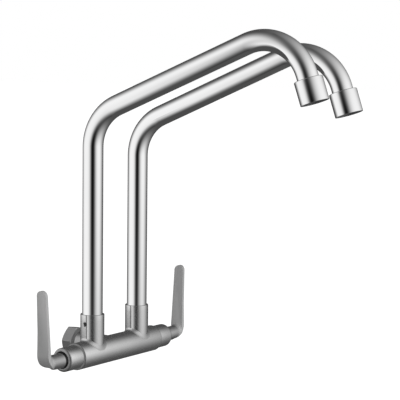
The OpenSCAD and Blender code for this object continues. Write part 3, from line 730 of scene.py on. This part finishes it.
# The light tent in metres. Each of its lights has an azimuth, an elevation and the angles from
# its middle within which it is full and past which it is gone, in degrees, and its level.
# Levels are greys as they show on a screen, from 0 to 1. The curtain and the flag go by the
# swing of a direction in radians and by its upward share.
TENT_CENTRE = np.array([0.0, -0.15, 0.18])
TENT_R = 0.62
TENT_GAIN = 1.16
SCREEN_POWER = 2.2
LEFT_LIGHT = (VIEW_AZIMUTH + 70, -1, 27, 86, 166 / 255)
RIGHT_LIGHT = (VIEW_AZIMUTH - 70, 8, 12, 100, 165 / 255)
CLOTH_LEVEL = 75 / 255
DARKEST_LEVEL = 24 / 255
CURTAIN_LEVEL = 150 / 255
CURTAIN_AZIMUTH = VIEW_AZIMUTH + 13.5
CURTAIN_SPREAD = (np.radians(25), 0.62)
FLAG_SWING = (np.radians(50), np.radians(82))
FLAG_TOP = (-0.375, -0.42)


def stage_mesh(name, points, faces, material):
    """A mesh of the studio, which isn't part of the tap."""
    mesh = bpy.data.meshes.new(name)
    mesh.from_pydata(points, [], faces)
    obj = bpy.data.objects.new(name, mesh)
    bpy.context.scene.collection.objects.link(obj)
    mesh.materials.append(material)
    mesh.shade_smooth()
    return obj


def bare_material(name):
    """A material with only its output, and the tree of its nodes."""
    m = bpy.data.materials.new(name)
    m.use_nodes = True
    m.node_tree.nodes.remove(m.node_tree.nodes["Principled BSDF"])
    return m, m.node_tree


def seen_directly(tree):
    """1 for camera, glossy and transmission rays, and 0 for those that only carry light."""
    path = tree.nodes.new("ShaderNodeLightPath").outputs
    seen_or_mirrored = calc(tree, "MAXIMUM", path["Is Camera Ray"], path["Is Glossy Ray"])
    return calc(tree, "MAXIMUM", seen_or_mirrored, path["Is Transmission Ray"])


def studio_world():
    """White where it is seen, and a plainer level where it only lights."""
    world = bpy.data.worlds.new("studio")
    world.use_nodes = True
    bpy.context.scene.world = world
    tree = world.node_tree
    background = tree.nodes["Background"]
    background.inputs["Color"].default_value = (1, 1, 1, 1)
    strength = mapped(tree, seen_directly(tree), 0.0, 1.0, low=0.3)
    tree.links.new(strength, background.inputs["Strength"])


def pale_floor():
    """A wide floor: white where it is seen, less the shadow that falls on it."""
    m, tree = bare_material("pale floor")
    diffuse = tree.nodes.new("ShaderNodeBsdfDiffuse")
    diffuse.inputs["Color"].default_value = (*grey(FLOOR_GREY), 1)
    glow = tree.nodes.new("ShaderNodeEmission")
    tree.links.new(calc(tree, "MULTIPLY", seen_directly(tree), FLOOR_GLOW), glow.inputs["Strength"])
    both = tree.nodes.new("ShaderNodeAddShader")
    tree.links.new(diffuse.outputs[0], both.inputs[0])
    tree.links.new(glow.outputs[0], both.inputs[1])
    tree.links.new(both.outputs[0], tree.nodes["Material Output"].inputs["Surface"])
    e, z = FLOOR_REACH, FLOOR_Z
    stage_mesh("pale_floor", [(-e, -e, z), (e, -e, z), (e, e, z), (-e, e, z)], [(0, 1, 2, 3)], m)


def direction(azimuth, elevation):
    """Unit vector: azimuth from -Y towards -X, and elevation, in degrees."""
    a, e = np.radians(azimuth), np.radians(elevation)
    return np.array([-np.sin(a) * np.cos(e), -np.cos(a) * np.cos(e), np.sin(e)])


def tent_cloth():
    """Dark grey cloth with a wide soft light on each side of the camera and a dark curtain
    behind it. A light is a smooth step of the angle from its middle, a flag hides the low rear
    part of the left light, and the curtain is a bell curve of swing and height."""
    m, tree = bare_material("tent cloth")
    m.cycles.emission_sampling = "NONE"

    def vector(kind, value, by=(0, 0, 0)):
        node = tree.nodes.new("ShaderNodeVectorMath")
        node.operation = kind
        node.inputs[1].default_value = by
        tree.links.new(value, node.inputs[0])
        return node.outputs

    place = tree.nodes.new("ShaderNodeTexCoord").outputs["Object"]
    unit = vector("NORMALIZE", vector("SUBTRACT", place, TENT_CENTRE)[0])[0]

    def along(way):
        return vector("DOT_PRODUCT", unit, way)["Value"]

    def smooth_step(value, none, full, level=1.0):
        return mapped(tree, value, none, full, high=level, kind="SMOOTHSTEP")

    def soft_light(azimuth, elevation, full, none, level):
        angle = calc(tree, "ARCCOSINE", along(direction(azimuth, elevation)))
        return smooth_step(angle, np.radians(none), np.radians(full), level)

    def swing_from(azimuth, towards):
        side_on = along(direction(azimuth + towards, 0))
        return calc(tree, "ARCTAN2", side_on, along(direction(azimuth, 0)))

    def squared_share(value, whole):
        return calc(tree, "POWER", calc(tree, "DIVIDE", calc(tree, "ABSOLUTE", value), whole), 2.0)

    height = along(UP)
    behind = smooth_step(swing_from(VIEW_AZIMUTH, 90), *FLAG_SWING)
    flag = calc(tree, "MULTIPLY", behind, smooth_step(height, *FLAG_TOP))
    left = calc(tree, "MULTIPLY", soft_light(*LEFT_LIGHT), calc(tree, "SUBTRACT", 1.0, flag))
    lights = calc(tree, "ADD", left, soft_light(*RIGHT_LIGHT))
    swing = squared_share(swing_from(CURTAIN_AZIMUTH, -90), CURTAIN_SPREAD[0])
    spread = calc(tree, "ADD", swing, squared_share(height, CURTAIN_SPREAD[1]))
    bell = calc(tree, "EXPONENT", calc(tree, "MULTIPLY", spread, -1.0))
    curtain = calc(tree, "MULTIPLY", bell, CURTAIN_LEVEL)
    total = calc(tree, "SUBTRACT", calc(tree, "ADD", lights, CLOTH_LEVEL), curtain)
    shown = calc(tree, "MAXIMUM", total, DARKEST_LEVEL)
    glow = tree.nodes.new("ShaderNodeEmission")
    glow.inputs["Color"].default_value = (1, 1, 1, 1)
    strength = calc(tree, "MULTIPLY", calc(tree, "POWER", shown, SCREEN_POWER), TENT_GAIN)
    tree.links.new(strength, glow.inputs["Strength"])
    tree.links.new(glow.outputs[0], tree.nodes["Material Output"].inputs["Surface"])
    return m


def light_tent(rows=33, columns=64):
    """A round tent that only polished and satin metal sees, as round a chrome object in a
    studio. A point is the centre plus the radius times the unit vector of its two angles."""
    e = np.linspace(-np.pi / 2, np.pi / 2, rows)[:, None]
    a = np.arange(columns)[None] * TURN / columns
    unit = np.stack([np.cos(e) * np.cos(a), np.cos(e) * np.sin(a), np.sin(e) + 0 * a], 2)
    grid = unit * TENT_R + TENT_CENTRE
    i, j = np.meshgrid(np.arange(rows - 1), np.arange(columns), indexing="ij")
    j2 = (j + 1) % columns
    cells = np.stack([i * columns + j, i * columns + j2, (i + 1) * columns + j2, (i + 1) * columns + j], 2)
    points, faces = grid.reshape(-1, 3).tolist(), cells.reshape(-1, 4).tolist()
    tent = stage_mesh("light_tent", points, faces, tent_cloth())
    tent.visible_camera = False
    tent.visible_diffuse = False
    tent.visible_shadow = False
    tent.visible_transmission = False
    tent.visible_volume_scatter = False


def soft_lamp(name, azimuth, elevation, distance, size, power):
    """A wide square lamp aimed at the tap. Metal sees the tent instead of it."""
    data = bpy.data.lights.new(name, "AREA")
    data.shape = "SQUARE"
    data.size = size
    data.energy = power
    lamp = bpy.data.objects.new(name, data)
    bpy.context.scene.collection.objects.link(lamp)
    away = Vector(direction(azimuth, elevation))
    lamp.location = Vector(TENT_CENTRE) + away * distance
    lamp.rotation_mode = "QUATERNION"
    lamp.rotation_quaternion = away.to_track_quat("Z", "Y")
    lamp.visible_glossy = False


def camera():
    """The photograph's view: eye, direction, slight roll and lens, found from the tap's own
    circles, tubes and ends in the photograph."""
    back = direction(VIEW_AZIMUTH, VIEW_RISE)
    right = np.cross(-back, UP)
    right /= np.linalg.norm(right)
    up = np.cross(right, -back)
    roll = np.radians(VIEW_ROLL)
    x = np.cos(roll) * right + np.sin(roll) * up
    y = -np.sin(roll) * right + np.cos(roll) * up
    data = bpy.data.cameras.new("photo view")
    data.lens = VIEW_LENS
    data.sensor_width = VIEW_SENSOR
    data.clip_start = 0.05
    data.clip_end = 100
    obj = bpy.data.objects.new("photo view", data)
    bpy.context.scene.collection.objects.link(obj)
    turn = Matrix(np.stack([x, y, back], 1).tolist()).to_4x4()
    obj.matrix_world = Matrix.Translation(EYE) @ turn
    bpy.context.scene.camera = obj


camera()
studio_world()
pale_floor()
light_tent()
soft_lamp("left softbox", VIEW_AZIMUTH + 45, 15, distance=0.6, size=0.4, power=1.3)
soft_lamp("right softbox", VIEW_AZIMUTH - 50, 15, distance=1.8, size=1.0, power=36)
soft_lamp("top softbox", VIEW_AZIMUTH, 80, distance=2.0, size=1.5, power=4)
bpy.context.scene.view_settings.view_transform = "Standard"
